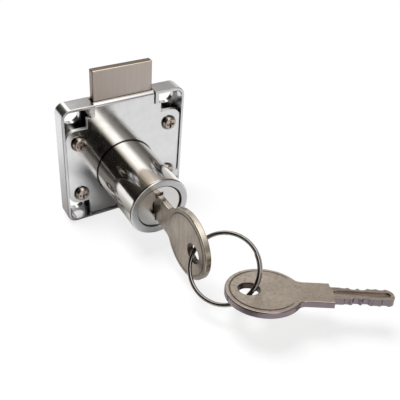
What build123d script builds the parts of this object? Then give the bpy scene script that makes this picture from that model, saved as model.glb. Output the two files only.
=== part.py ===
# Surface-mounted cabinet lock: a square tray-shaped case, a screwed cover that carries a round
# cylinder, a bolt that an eccentric pin on the plug raises and lowers, and two keys on a wire ring.
#
# Millimetres. The origin is on the cylinder's axis in the plane of the case's front rim.
# +Z is the way the bolt is thrown, -Y points out of the front, where the key goes in.
import math
import os

from build123d import *

# Case
case_width = 40.0
case_height = 40.0
case_depth = 6.0
case_corner_radius = 3.0
case_wall = 0.85
case_floor = 1.6
case_back_edge_radius = 0.8
case_rim_radius = 0.25
case_above_axis = 4.35
mounting_hole_diameter = 5.5
mounting_hole_from_side = 4.4
mounting_hole_from_top = 4.2
bolt_slot_width = 19.9
guide_rib_width = 1.1
rail_width = 1.2
rail_length = 19.0

# Cover
cover_recess = 0.5
cover_thickness = 1.2
cover_body_width = 24.2
cover_tongue_width = 19.5
cover_edge_gap = 0.12
cover_shoulder_drop = 4.1
cover_ear_above_screw = 4.5
cover_ear_below_screw = 3.4
cover_ear_corner_radius = 3.4
tongue_edge_radius = 1.15

# Cover screws
screw_from_side = 5.0
screw_from_top = 11.85
screw_from_bottom = 10.05
screw_head_diameter = 4.4
screw_head_height = 1.4
screw_head_round = 0.9
screw_shank_diameter = 2.4
screw_length = 4.2
screw_recess_span = 2.5
screw_recess_width = 0.7
screw_recess_depth = 0.75
screw_boss_diameter = 5.6
screw_clearance = 0.3
screw_thread_gap = 0.05

# Cylinder
cylinder_diameter = 19.0
cylinder_length = 23.0
sleeve_wall = 0.6
sleeve_lip = 0.5
sleeve_edge_radius = 0.55
sleeve_bore_gap = 0.02
spigot_diameter = 15.8
spigot_gap = 0.02
housing_bore = 12.7
head_bore = 14.3
wafer_channel_depth = 1.2
wafer_channel_margin = 1.4

# Plug
plug_gap = 0.05
head_gap = 0.1
head_thickness = 1.5
head_seat_gap = 0.03
face_recess = 0.55
face_edge_bevel = 0.25
dish_diameter = 6.0
dish_depth = 1.6
key_gap = 0.35
key_seat_gap = 0.4
keyway_end_gap = 1.0
drive_pin_diameter = 3.0
drive_pin_radius = 4.6
clip_thickness = 0.5
clip_inner_diameter = 10.8
clip_inside_spigot = 0.75
clip_mouth_angle = 70.0
clip_gap = 0.05
clip_seat_depth = 1.1

# Bolt
bolt_width = 19.0
bolt_thickness = 2.3
bolt_projection = 9.5
bolt_tail_below_axis = 4.9
bolt_edge_radius = 0.35
bolt_gap = 0.2
slot_half_width = 6.4
slot_running_gap = 0.1

# Wafers and their springs
wafer_count = 5
wafer_thickness = 0.9
wafer_width = 7.0
wafer_gap = 0.05
wafer_travel = 0.9
wafer_window_width = 2.4
wafer_window_height = 6.8
first_wafer_depth = 3.6
last_wafer_from_tip = 3.0
lug_reach = 1.15
lug_height = 1.0
spring_diameter = 0.9
spring_wire = 0.22
spring_length = 2.6

# Keys
key_thickness = 1.9
key_bow_radius = 10.35
key_bow_distance = 18.0
key_neck_width = 9.1
key_neck_fillet = 2.6
key_shoulder_depth = 0.95
key_droop = 1.8
key_shoulder_gap = 0.02
key_hole_diameter = 5.6
key_hole_offset = 3.9
key_edge_radius = 0.3
border_radius = 9.1
border_width = 0.35
border_depth = 0.12
border_opening = 80.0
blade_length = 16.6
blade_width = 5.2
blade_tip_radius = 2.2
blade_groove_width = 2.2
blade_groove_depth = 0.45
blade_groove_start = 0.4
blade_groove_end = 0.9
cut_floor_width = 1.2
cut_slope = 45.0
cut_depths = [0.25, 0.65, 0.7, 0.2, 0.4]

# Key ring, a single wire that overlaps itself beside the spare key
ring_radius = 9.58
ring_wire_diameter = 1.2
ring_pitch = 1.4
ring_start_angle = -184.0
ring_end_angle = 236.0
ring_arc_step = 30.0
ring_offset = (4.162, -7.894, -1.008)
ring_x_direction = (-0.4356, 0.8848, 0.1654)
ring_normal = (-0.611, -0.4255, 0.6676)

# Spare key, placed by its ring hole
spare_offset = (7.081, -15.784, -3.904)
spare_blade_direction = (0.8492, -0.5278, 0.0152)
spare_normal = (0.1012, 0.1909, 0.9764)


# Places along the cylinder's axis, worked out from the sizes above
cover_front = cover_recess
cover_back = cover_front + cover_thickness
bolt_front = cover_back + bolt_gap
bolt_back = bolt_front + bolt_thickness
floor_front = case_depth - case_floor
cylinder_front = cover_front - cylinder_length
housing_front = cylinder_front + sleeve_lip
plug_front = cylinder_front + face_recess
head_back = plug_front + head_thickness
plug_back = cover_back
shoulder_seat = plug_front + key_shoulder_depth
blade_tip_y = shoulder_seat + blade_length
clip_seat = cover_back - clip_seat_depth
clip_front = clip_seat + clip_gap

# Places across the axis
case_top = case_above_axis + case_height / 2
case_bottom = case_above_axis - case_height / 2
inner_top = case_top - case_wall
inner_bottom = case_bottom + case_wall
inner_half_width = case_width / 2 - case_wall
cover_shoulder = case_top - cover_shoulder_drop
mounting_spacing_x = case_width - 2 * mounting_hole_from_side
mounting_spacing_z = case_height - 2 * mounting_hole_from_top
screw_spacing_x = case_width - 2 * screw_from_side
screw_spacing_z = case_height - screw_from_top - screw_from_bottom
screw_middle_z = (case_top - screw_from_top + case_bottom + screw_from_bottom) / 2
plug_radius = housing_bore / 2 - plug_gap
head_radius = head_bore / 2 - head_gap
housing_radius = cylinder_diameter / 2 - sleeve_wall
clip_outer_diameter = spigot_diameter - 2 * clip_inside_spigot

# The bolt keeps a steady share of the plug's turn and a crank doesn't, so the slot gives the
# eccentric pin the most by which the two differ.
crank_angle = math.asin(2 / math.pi)
crank_share = 2 * crank_angle / math.pi - (1 - math.cos(crank_angle))
slot_half_height = drive_pin_diameter / 2 + drive_pin_radius * crank_share + slot_running_gap
bolt_top = case_top + bolt_projection
bolt_bottom = -bolt_tail_below_axis

# Wafers in turn rise and drop from the key, so their lugs and springs lie on either side
wafer_pitch = (blade_length - first_wafer_depth - last_wafer_from_tip) / (wafer_count - 1)
wafer_places = [shoulder_seat + first_wafer_depth + n * wafer_pitch for n in range(wafer_count)]
wafer_sides = [1 if n % 2 == 0 else -1 for n in range(wafer_count)]
lug_middle = wafer_width / 2 + lug_reach / 2


def across(y):
    """The plane square to the cylinder's axis at y, seen from the front: x right, z up."""
    return Plane.XZ.offset(-y)


def save(piece, name):
    piece.part.label = name
    export_step(piece.part, f"parts/{name}.step")


def make_case():
    middle = Location((0, case_above_axis))
    screw_middle = Location((0, screw_middle_z))
    rib_x = bolt_slot_width / 2 + guide_rib_width / 2
    rib_top = inner_top + case_wall / 2
    rib_foot = cover_shoulder + cover_edge_gap
    rib_middle = (rib_top + rib_foot) / 2
    rail_x = bolt_width / 2 + bolt_gap + rail_width / 2
    rail_middle = inner_bottom - case_wall / 2 + rail_length / 2
    in_floor = case_floor / 2
    with BuildPart() as case:
        with BuildSketch(across(0)):
            with Locations(middle):
                RectangleRounded(case_width, case_height, case_corner_radius)
        extrude(amount=-case_depth)
        back = case.faces().sort_by(Axis.Y)[-1]
        fillet(back.edges(), radius=case_back_edge_radius)
        rim = case.faces().sort_by(Axis.Y)[0]
        fillet(rim.edges(), radius=case_rim_radius)
        with BuildSketch(across(0)):
            with Locations(middle):
                RectangleRounded(
                    case_width - 2 * case_wall,
                    case_height - 2 * case_wall,
                    case_corner_radius - case_wall,
                )
        extrude(amount=-floor_front, mode=Mode.SUBTRACT)
        # Ribs beside the slot that the bolt passes
        with BuildSketch(across(0)):
            with Locations((-rib_x, rib_middle), (rib_x, rib_middle)):
                Rectangle(guide_rib_width, rib_top - rib_foot)
        extrude(amount=-(floor_front + in_floor))
        # Rails on the floor that guide the bolt's tail, and bosses for the cover's screws
        with BuildSketch(across(cover_back)):
            with Locations((-rail_x, rail_middle), (rail_x, rail_middle)):
                Rectangle(rail_width, rail_length)
            with Locations(screw_middle):
                with GridLocations(screw_spacing_x, screw_spacing_z, 2, 2):
                    Circle(screw_boss_diameter / 2)
        extrude(amount=-(floor_front + in_floor - cover_back))
        with BuildSketch(across(cover_back)):
            with Locations(screw_middle):
                with GridLocations(screw_spacing_x, screw_spacing_z, 2, 2):
                    Circle(screw_shank_diameter / 2 + screw_thread_gap)
        extrude(amount=-(screw_length - cover_thickness + screw_clearance), mode=Mode.SUBTRACT)
        # The slot that the bolt passes, open to the front
        with BuildSketch(across(0)):
            with Locations((0, case_top)):
                Rectangle(bolt_slot_width, 2 * case_wall + bolt_gap)
        extrude(amount=-floor_front, mode=Mode.SUBTRACT)
        # Holes for the screws that hold the lock to the door
        with BuildSketch(across(floor_front)):
            with Locations(middle):
                with GridLocations(mounting_spacing_x, mounting_spacing_z, 2, 2):
                    Circle(mounting_hole_diameter / 2)
        extrude(amount=-case_floor, mode=Mode.SUBTRACT)
    return case


def make_cover():
    body_bottom = inner_bottom + cover_edge_gap
    ear_width = 2 * (inner_half_width - cover_edge_gap)
    ear_height = screw_spacing_z + cover_ear_above_screw + cover_ear_below_screw
    ear_middle = screw_middle_z + (cover_ear_above_screw - cover_ear_below_screw) / 2
    with BuildPart() as cover:
        with BuildSketch(across(cover_front)):
            with Locations((0, (cover_shoulder + body_bottom) / 2)):
                Rectangle(cover_body_width, cover_shoulder - body_bottom)
            with Locations((0, case_top / 2)):
                Rectangle(cover_tongue_width, case_top)
            with Locations((0, ear_middle)):
                RectangleRounded(ear_width, ear_height, cover_ear_corner_radius)
            with Locations((0, screw_middle_z)):
                with GridLocations(screw_spacing_x, screw_spacing_z, 2, 2):
                    Circle((screw_shank_diameter + screw_clearance) / 2, mode=Mode.SUBTRACT)
            Circle(spigot_diameter / 2 + spigot_gap, mode=Mode.SUBTRACT)
        extrude(amount=-cover_thickness)
        top_edges = cover.edges().filter_by(Axis.X).group_by(Axis.Z)[-1]
        fillet(top_edges.sort_by(Axis.Y)[0], radius=tongue_edge_radius)
    return cover


def make_cover_screws():
    middle = Location((0, screw_middle_z))
    with BuildPart() as screws:
        with BuildSketch(across(cover_front)):
            with Locations(middle):
                with GridLocations(screw_spacing_x, screw_spacing_z, 2, 2):
                    Circle(screw_head_diameter / 2)
        extrude(amount=screw_head_height)
        head_tops = screws.faces().filter_by(Axis.Y).group_by(Axis.Y)[0]
        fillet(head_tops.edges(), radius=screw_head_round)
        with BuildSketch(across(cover_front)):
            with Locations(middle):
                with GridLocations(screw_spacing_x, screw_spacing_z, 2, 2):
                    Circle(screw_shank_diameter / 2)
        extrude(amount=-screw_length)
        with BuildSketch(across(cover_front - screw_head_height)):
            with Locations(middle):
                with GridLocations(screw_spacing_x, screw_spacing_z, 2, 2):
                    Rectangle(screw_recess_span, screw_recess_width)
                    Rectangle(screw_recess_width, screw_recess_span)
        extrude(amount=-screw_recess_depth, mode=Mode.SUBTRACT)
    return screws


def make_housing():
    channel_start = wafer_places[0] - wafer_thickness / 2 - wafer_channel_margin
    channel_end = wafer_places[-1] + wafer_thickness / 2 + wafer_channel_margin
    channel_reach = housing_bore / 2 + wafer_channel_depth
    with BuildPart() as housing:
        with BuildSketch(across(housing_front)):
            Circle(housing_radius)
        extrude(amount=housing_front - cover_front)
        with BuildSketch(across(cover_front)):
            Circle(spigot_diameter / 2)
        extrude(amount=-cover_thickness)
        with BuildSketch(across(housing_front)):
            Circle(housing_bore / 2)
        extrude(amount=housing_front - cover_back, mode=Mode.SUBTRACT)
        with BuildSketch(across(housing_front)):
            Circle(head_bore / 2)
        extrude(amount=housing_front - head_back - head_seat_gap, mode=Mode.SUBTRACT)
        with BuildSketch(across(clip_seat)):
            Circle(clip_outer_diameter / 2 + clip_gap)
        extrude(amount=clip_seat - cover_back, mode=Mode.SUBTRACT)
        # Channels above and below the plug, which the wafers lock into
        with BuildSketch(across(channel_start)):
            Rectangle(wafer_width + 2 * wafer_gap, 2 * channel_reach)
        extrude(amount=channel_start - channel_end, mode=Mode.SUBTRACT)
    return housing


def make_sleeve():
    with BuildPart() as sleeve:
        with BuildSketch(across(cylinder_front)):
            Circle(cylinder_diameter / 2)
        extrude(amount=-cylinder_length)
        front = sleeve.faces().sort_by(Axis.Y)[0]
        fillet(front.edges(), radius=sleeve_edge_radius)
        with BuildSketch(across(housing_front)):
            Circle(housing_radius + sleeve_bore_gap)
        extrude(amount=housing_front - cover_front, mode=Mode.SUBTRACT)
        with BuildSketch(across(cylinder_front)):
            Circle(head_bore / 2)
        extrude(amount=-sleeve_lip, mode=Mode.SUBTRACT)
    return sleeve


def make_plug():
    keyway_width = key_thickness + 2 * key_gap
    wafer_slot = wafer_thickness + 2 * wafer_gap
    lug_top = lug_height / 2 + wafer_travel + wafer_gap
    spring_floor = -lug_height / 2 - spring_length
    with BuildPart() as plug:
        with BuildSketch(across(plug_front)):
            Circle(head_radius)
        extrude(amount=-head_thickness)
        face = plug.faces().sort_by(Axis.Y)[0]
        chamfer(face.edges(), length=face_edge_bevel)
        with BuildSketch(across(head_back)):
            Circle(plug_radius)
        extrude(amount=head_back - plug_back)
        # The eccentric pin that drives the bolt
        with BuildSketch(across(plug_back)):
            with Locations((0, drive_pin_radius)):
                Circle(drive_pin_diameter / 2)
        extrude(amount=plug_back - bolt_back)
        # The face: a round dish, the wider seat of the key's shoulder and the keyway
        with BuildSketch(across(plug_front)):
            Circle(dish_diameter / 2)
        extrude(amount=-dish_depth, mode=Mode.SUBTRACT)
        with BuildSketch(across(plug_front)):
            Rectangle(keyway_width, key_neck_width + 2 * key_seat_gap)
        extrude(amount=-key_shoulder_depth, mode=Mode.SUBTRACT)
        with BuildSketch(across(plug_front)):
            Rectangle(keyway_width, blade_width + 2 * key_gap)
        extrude(amount=plug_front - blade_tip_y - keyway_end_gap, mode=Mode.SUBTRACT)
        # Groove for the clip that holds the plug in the housing
        with BuildSketch(across(clip_front - clip_gap)):
            Circle(head_radius)
            Circle(clip_inner_diameter / 2, mode=Mode.SUBTRACT)
        extrude(amount=-(clip_thickness + 2 * clip_gap), mode=Mode.SUBTRACT)
        # A slot through the plug for each wafer, with a pocket for its lug and spring at one side
        for place, side in zip(wafer_places, wafer_sides):
            with BuildSketch(across(place - wafer_slot / 2)):
                Rectangle(wafer_width + 2 * wafer_gap, housing_bore)
                with Locations((side * lug_middle, side * (lug_top + spring_floor) / 2)):
                    Rectangle(lug_reach + 2 * wafer_gap, lug_top - spring_floor)
            extrude(amount=-wafer_slot, mode=Mode.SUBTRACT)
    return plug


def make_clip():
    mouth = math.radians(clip_mouth_angle / 2)
    reach = clip_outer_diameter
    with BuildPart() as clip:
        with BuildSketch(across(clip_front)):
            Circle(clip_outer_diameter / 2)
            Circle(clip_inner_diameter / 2, mode=Mode.SUBTRACT)
            with BuildLine():
                Polyline(
                    (0, 0),
                    (-reach * math.sin(mouth), -reach * math.cos(mouth)),
                    (reach * math.sin(mouth), -reach * math.cos(mouth)),
                    close=True,
                )
            make_face(mode=Mode.SUBTRACT)
        extrude(amount=-clip_thickness)
        fillet(clip.edges().filter_by(Axis.Y), radius=clip_thickness / 2)
    return clip


def make_wafer(place, side):
    with BuildPart() as wafer:
        with BuildSketch(across(place - wafer_thickness / 2)):
            Circle(plug_radius)
            Rectangle(wafer_width, housing_bore, mode=Mode.INTERSECT)
            Rectangle(wafer_window_width, wafer_window_height, mode=Mode.SUBTRACT)
            with Locations((side * (lug_middle - wafer_gap), 0)):
                Rectangle(lug_reach, lug_height)
        extrude(amount=-wafer_thickness)
    return wafer


def make_wafer_spring(place, side):
    """A plain tube as long as the coil spring that pushes on the wafer's lug."""
    lug_foot = -side * lug_height / 2
    with BuildPart() as spring:
        with BuildSketch(Plane.XY.offset(lug_foot)):
            with Locations((side * lug_middle, place)):
                Circle(spring_diameter / 2)
                Circle(spring_diameter / 2 - spring_wire, mode=Mode.SUBTRACT)
        extrude(amount=-side * spring_length)
    return spring


def make_bolt():
    with BuildPart() as bolt:
        with BuildSketch(across(bolt_front)):
            with Locations((0, (bolt_top + bolt_bottom) / 2)):
                Rectangle(bolt_width, bolt_top - bolt_bottom)
        extrude(amount=-bolt_thickness)
        fillet(bolt.edges(), radius=bolt_edge_radius)
        # The slot in which the plug's pin runs
        with BuildSketch(across(bolt_front)):
            with Locations((0, drive_pin_radius)):
                RectangleRounded(2 * slot_half_width, 2 * slot_half_height, drive_pin_diameter / 2)
        extrude(amount=-bolt_thickness, mode=Mode.SUBTRACT)
    return bolt


def key_plane():
    """The key in the lock droops by its play in the keyway, until its lower shoulder touches."""
    droop = math.radians(key_droop)
    back = Vector(0, -math.cos(droop), -math.sin(droop))
    stand_off = key_neck_width / 2 * math.tan(droop) + key_shoulder_gap
    blade_middle = Vector(0, shoulder_seat + blade_length / 2 - stand_off, 0)
    return Plane(origin=blade_middle + back * (blade_length / 2), x_dir=back, z_dir=(1, 0, 0))


def key_hole_centre():
    return key_plane().from_local_coords((key_bow_distance + key_hole_offset, 0, 0))


def make_key(shoulder):
    """A flat key on a plane whose x runs from the shoulder to the bow, with y across the key."""
    edge = blade_width / 2
    groove_length = blade_length - blade_groove_start - blade_groove_end
    groove_middle = -blade_groove_start - groove_length / 2
    hole_place = (key_bow_distance + key_hole_offset, 0)
    neck_reach = math.sqrt(key_bow_radius**2 - (key_neck_width / 2) ** 2)
    opening = math.radians(border_opening / 2)
    faces = [(shoulder.offset(key_thickness / 2), -1), (shoulder.offset(-key_thickness / 2), 1)]
    with BuildPart() as key:
        with BuildSketch(shoulder.offset(-key_thickness / 2)) as outline:
            with Locations((key_bow_distance, 0)):
                Circle(key_bow_radius)
            with Locations((key_bow_distance / 2, 0)):
                Rectangle(key_bow_distance, key_neck_width)
            neck_corner = key_bow_distance - neck_reach
            corners = outline.vertices().filter_by_position(
                Axis.X, neck_corner - key_neck_fillet, neck_corner + key_neck_fillet
            )
            fillet(corners, radius=key_neck_fillet)
        extrude(amount=key_thickness)
        bow_edges = key.edges().filter_by(GeomType.CIRCLE)
        fillet(bow_edges.sort_by(lambda arc: arc.radius)[-2:], radius=key_edge_radius)
        # The blade, cut alike on both edges
        with BuildSketch(shoulder.offset(-key_thickness / 2)) as blade:
            with Locations((-blade_length / 2, 0)):
                Rectangle(blade_length, blade_width)
            fillet(blade.vertices().group_by(Axis.X)[0], radius=blade_tip_radius)
            for n, depth in enumerate(cut_depths):
                width = cut_floor_width + 2 * depth / math.tan(math.radians(cut_slope))
                cut_x = -first_wafer_depth - n * wafer_pitch
                for side in (1, -1):
                    with Locations((cut_x, side * (edge - depth / 2))):
                        Trapezoid(
                            width,
                            depth,
                            cut_slope,
                            rotation=90 + 90 * side,
                            mode=Mode.SUBTRACT,
                        )
        extrude(amount=key_thickness)
        with BuildSketch(shoulder.offset(-key_thickness / 2)):
            with Locations(hole_place):
                Circle(key_hole_diameter / 2)
        extrude(amount=key_thickness, mode=Mode.SUBTRACT)
        hole_edges = key.edges().filter_by(GeomType.CIRCLE)
        hole_edges = hole_edges.filter_by(lambda arc: abs(arc.radius - key_hole_diameter / 2) < 1e-6)
        fillet(hole_edges, radius=key_edge_radius)
        # On both faces a groove along the blade, and a fine line round the bow
        for face, inward in faces:
            with BuildSketch(face):
                with Locations((groove_middle, 0)):
                    SlotOverall(groove_length, blade_groove_width)
            extrude(amount=inward * blade_groove_depth, mode=Mode.SUBTRACT)
            with BuildSketch(face):
                with Locations((key_bow_distance, 0)):
                    Circle(border_radius + border_width / 2)
                    Circle(border_radius - border_width / 2, mode=Mode.SUBTRACT)
                with BuildLine():
                    Polyline(
                        (key_bow_distance, 0),
                        (key_bow_distance - 2 * border_radius, 2 * border_radius * math.tan(opening)),
                        (key_bow_distance - 2 * border_radius, -2 * border_radius * math.tan(opening)),
                        close=True,
                    )
                make_face(mode=Mode.SUBTRACT)
            extrude(amount=inward * border_depth, mode=Mode.SUBTRACT)
    return key


def ring_point(plane, angle):
    """A point of the ring's wire, which climbs steadily as it goes round."""
    turn = math.radians(angle)
    middle = (ring_start_angle + ring_end_angle) / 2
    climb = ring_pitch * (angle - middle) / 360
    return plane.from_local_coords((ring_radius * math.cos(turn), ring_radius * math.sin(turn), climb))


def ring_direction(plane, angle):
    """The way the ring's wire runs at an angle."""
    turn = math.radians(angle)
    along = Vector(-ring_radius * math.sin(turn), ring_radius * math.cos(turn), ring_pitch / math.tau)
    return plane.from_local_coords(along) - plane.origin


def make_key_ring():
    centre = key_hole_centre() + Vector(*ring_offset)
    plane = Plane(origin=centre, x_dir=ring_x_direction, z_dir=ring_normal)
    arcs = round((ring_end_angle - ring_start_angle) / ring_arc_step)
    angles = [ring_start_angle + n * ring_arc_step for n in range(arcs + 1)]
    tangent = ring_direction(plane, ring_start_angle)
    with BuildPart() as ring:
        with BuildLine() as wire:
            for start, end in zip(angles, angles[1:]):
                arc = TangentArc(ring_point(plane, start), ring_point(plane, end), tangent=tangent)
                tangent = arc % 1
        with BuildSketch(Plane(origin=wire.line @ 0, z_dir=wire.line % 0)):
            Circle(ring_wire_diameter / 2)
        sweep()
    return ring


def spare_key_plane():
    back = Vector(*spare_blade_direction).normalized()
    hole = key_hole_centre() + Vector(*spare_offset)
    shoulder = hole + back * (key_bow_distance + key_hole_offset)
    return Plane(origin=shoulder, x_dir=-back, z_dir=spare_normal)


os.makedirs("parts", exist_ok=True)
save(make_case(), "case")
save(make_cover(), "cover_plate")
save(make_cover_screws(), "cover_screws")
save(make_housing(), "cylinder_housing")
save(make_sleeve(), "trim_sleeve")
save(make_plug(), "plug")
save(make_clip(), "retaining_clip")
for number, (place, side) in enumerate(zip(wafer_places, wafer_sides), start=1):
    save(make_wafer(place, side), f"wafer_{number}")
    save(make_wafer_spring(place, side), f"wafer_spring_{number}")
save(make_bolt(), "bolt")
save(make_key(key_plane()), "key")
save(make_key_ring(), "key_ring")
save(make_key(spare_key_plane()), "spare_key")
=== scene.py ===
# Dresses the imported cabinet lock: a finish for every piece, coil springs for the wafers, and a
# plain studio with the camera where the photograph's was.
#
# Metres, in the lock's own frame: the origin is on the cylinder's axis in the plane of the case's
# rim, +Z is the way the bolt is thrown and -Y points out of the front.
import math

import bmesh
import bpy
from mathutils import Euler, Matrix, Vector


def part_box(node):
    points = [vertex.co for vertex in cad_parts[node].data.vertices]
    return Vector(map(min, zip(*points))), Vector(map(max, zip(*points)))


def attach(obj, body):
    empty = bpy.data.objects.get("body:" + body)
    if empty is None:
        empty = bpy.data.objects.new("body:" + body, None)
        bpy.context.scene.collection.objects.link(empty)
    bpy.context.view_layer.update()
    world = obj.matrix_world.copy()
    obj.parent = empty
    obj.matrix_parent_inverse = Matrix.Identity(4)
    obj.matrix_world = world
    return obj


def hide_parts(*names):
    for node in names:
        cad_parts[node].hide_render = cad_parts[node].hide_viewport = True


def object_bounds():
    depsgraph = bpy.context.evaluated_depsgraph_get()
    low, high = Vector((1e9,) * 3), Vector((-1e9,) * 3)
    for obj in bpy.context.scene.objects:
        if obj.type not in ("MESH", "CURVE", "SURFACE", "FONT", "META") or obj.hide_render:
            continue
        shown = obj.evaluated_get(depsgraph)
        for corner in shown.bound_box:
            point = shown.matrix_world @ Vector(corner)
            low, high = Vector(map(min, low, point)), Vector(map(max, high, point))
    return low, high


bl_info = {
    "name": "Cabinet Lock Finishes",
    "version": (1, 0, 0),
    "blender": (4, 5, 0),
    "location": "3D View > Sidebar > Cabinet Lock",
    "description": "Finishes, wafer springs and studio for a cabinet lock with two keys",
    "category": "Object",
}

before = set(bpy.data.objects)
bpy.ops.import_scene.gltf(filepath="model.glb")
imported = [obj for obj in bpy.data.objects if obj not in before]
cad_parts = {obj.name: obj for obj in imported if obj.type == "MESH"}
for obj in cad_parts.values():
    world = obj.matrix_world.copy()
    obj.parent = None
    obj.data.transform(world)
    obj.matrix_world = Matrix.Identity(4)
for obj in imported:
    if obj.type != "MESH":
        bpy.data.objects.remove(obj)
cad_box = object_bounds()

MM = 0.001
WAFER_NUMBERS = range(1, 6)


# Colours and nodes


def linear_from_hex(text):
    """A colour written as sRGB hex, in the linear values that Blender's sockets take."""
    channels = [int(text[i:i + 2], 16) / 255 for i in (0, 2, 4)]
    return tuple(c / 12.92 if c <= 0.04045 else ((c + 0.055) / 1.055) ** 2.4 for c in channels)


def add_node(tree, kind, settings=None, inputs=None):
    """Adds a node with its settings. Each input takes a value or another node's output."""
    node = tree.nodes.new(kind)
    for name, value in (settings or {}).items():
        setattr(node, name, value)
    for name, value in (inputs or {}).items():
        if isinstance(value, bpy.types.NodeSocket):
            tree.links.new(value, node.inputs[name])
        else:
            node.inputs[name].default_value = value
    return node


def start_material(name):
    """An empty node material with its output, and the tree to fill."""
    material = bpy.data.materials.new(name)
    material.use_nodes = True
    tree = material.node_tree
    tree.nodes.clear()
    return material, tree


def end_material(tree, shader):
    add_node(tree, "ShaderNodeOutputMaterial", inputs={"Surface": shader.outputs[0]})


def rgba(colour):
    return (colour[0], colour[1], colour[2], 1.0)


def shade(colour, share):
    """A lighter or darker tone of a colour."""
    return rgba([min(1.0, share * channel) for channel in colour])


def rgba_from_hex(text):
    return rgba(linear_from_hex(text))


def per_metre(spacing):
    """The scale that gives a pattern this spacing, in metres."""
    return 1.0 / spacing


def finish_nodes(names, material):
    for name in names:
        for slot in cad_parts[name].material_slots:
            slot.material = material


def make_object(name, shape, material):
    """Turns a finished shape into an object in the scene."""
    mesh = bpy.data.meshes.new(name)
    shape.to_mesh(mesh)
    shape.free()
    mesh.materials.append(material)
    made = bpy.data.objects.new(name, mesh)
    bpy.context.scene.collection.objects.link(made)
    return made


# Sizes and colours that a user would change


def colour_setting(name, description, tone):
    """A colour, with its default as sRGB hex."""
    return bpy.props.FloatVectorProperty(
        name=name,
        description=description,
        subtype="COLOR",
        size=3,
        min=0.0,
        max=1.0,
        default=linear_from_hex(tone),
    )


def length_setting(name, description, length):
    """A length, with its default in metres."""
    return bpy.props.FloatProperty(name=name, description=description, unit="LENGTH", default=length)


def share_setting(name, description, share):
    """A share from 0 to 1."""
    return bpy.props.FloatProperty(
        name=name,
        description=description,
        subtype="FACTOR",
        min=0.0,
        max=1.0,
        default=share,
    )


class CaseSettings(bpy.types.PropertyGroup):
    chrome: colour_setting("Chrome", "Colour of the bright chrome plate", "cfcfd1")
    ripple: length_setting(
        "Ripple", "Spacing of the faint ripples that the casting leaves under the plate", 2.6 * MM
    )
    roughness: share_setting("Roughness", "Roughness of the plate where it is cleanest", 0.18)


class CoverSettings(bpy.types.PropertyGroup):
    chrome: colour_setting("Chrome", "Colour of the mirror-bright plate", "d3d3d4")
    waviness: length_setting("Waviness", "Spacing of the sheet's slow waves", 13.0 * MM)
    edge_round: length_setting(
        "Edge rounding", "Radius that rubbing has given the cover's edges", 0.25 * MM
    )
    # Painted shade: how far the darkening reaches out from the cover's corners
    corner_shade_width: length_setting(
        "Dirt width", "How far the dirt reaches out from the corners that the cover makes", 0.8 * MM
    )
    screw_nickel: colour_setting("Screw nickel", "Colour of the nickel plate on the screws", "aca199")


class CylinderSettings(bpy.types.PropertyGroup):
    sleeve: colour_setting("Sleeve", "Colour of the polished sleeve", "dcdad6")
    sleeve_front: colour_setting("Sleeve front", "Colour of the sleeve's blasted front ring", "b2b2b4")
    plug: colour_setting("Plug", "Colour of the plug's satin plate", "cac8c5")
    draw_mark: length_setting(
        "Draw marks", "Spacing of the fine lengthwise marks on the sleeve", 0.25 * MM
    )
    # The seam is a painted shade line
    seam_shade_width: length_setting(
        "Seam", "Width of the dark line where the sleeve stands on the cover", 0.25 * MM
    )
    brass: colour_setting("Wafer brass", "Colour of the stamped brass wafers", "c9a35c")


class BoltSettings(bpy.types.PropertyGroup):
    nickel: colour_setting("Nickel", "Colour of the brushed nickel plate", "b9afa8")
    # The bolt's sides and top take this colour as painted shade
    side: colour_setting("Side", "Colour of the bolt's sawn sides and top", "7d7064")
    # The line along the top front edge is a painted highlight
    edge_highlight_width: length_setting("Rub", "Width of the rubbed line along the bolt's top front edge", 0.1 * MM)
    brush_mark: length_setting(
        "Brush marks", "Spacing of the marks that run along the bolt", 0.22 * MM
    )


class KeySettings(bpy.types.PropertyGroup):
    nickel: colour_setting("Nickel", "Colour of the keys' tumbled nickel plate", "b8ada1")
    edge_nickel: colour_setting(
        "Edge nickel", "Colour of the brighter plate round the keys' edges", "e2dacd"
    )
    spare_nickel: colour_setting(
        "Spare nickel", "Colour of the spare key's tumbled nickel plate", "cdc1b3"
    )
    # The spare key's edges take this colour as painted shade
    spare_edge_shade: colour_setting(
        "Spare edge", "Colour of the duller plate round the spare key's edges", "81767a"
    )
    satin: share_setting("Satin", "Roughness of the keys' flat sides where they are smoothest", 0.34)
    scuff: length_setting("Scuffs", "Spacing of the scuffs from tumbling", 0.9 * MM)
    mill_mark: length_setting("Mill marks", "Spacing of the cutter's marks along the blades", 0.6 * MM)
    ring_steel: colour_setting("Ring steel", "Colour of the key ring's wire", "a5a09d")


class SpringSettings(bpy.types.PropertyGroup):
    wire: length_setting("Wire", "Diameter of the wafer springs' wire", 0.2 * MM)
    turns: bpy.props.IntProperty(
        name="Turns",
        description="Number of turns in a wafer spring",
        min=2,
        max=12,
        default=6,
    )
    steel: colour_setting("Steel", "Colour of the spring steel", "9a9a9c")


class StageSettings(bpy.types.PropertyGroup):
    floor_size: length_setting("Floor", "Width of the floor", 3.0)
    floor_colour: colour_setting("Floor colour", "Colour of the pale floor", "f2f2f2")
    shadow_depth: share_setting(
        "Shadow depth", "How much of the shadow on the floor the camera sees", 0.2
    )
    shadow_reach: length_setting(
        "Shadow reach", "How far from the lock the camera still sees its shadow", 0.3
    )
    # The card is painted floor shade that only the metal's reflections show
    shade_card_grey: colour_setting("Card grey", "Colour of the grey card beside the cylinder", "96918c")
    shade_card_far: colour_setting("Card far part", "Colour of the grey card's far part", "504b45")
    tent_radius: length_setting(
        "Tent radius", "Radius of the light tent that the bright metal reflects", 0.6
    )


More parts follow.
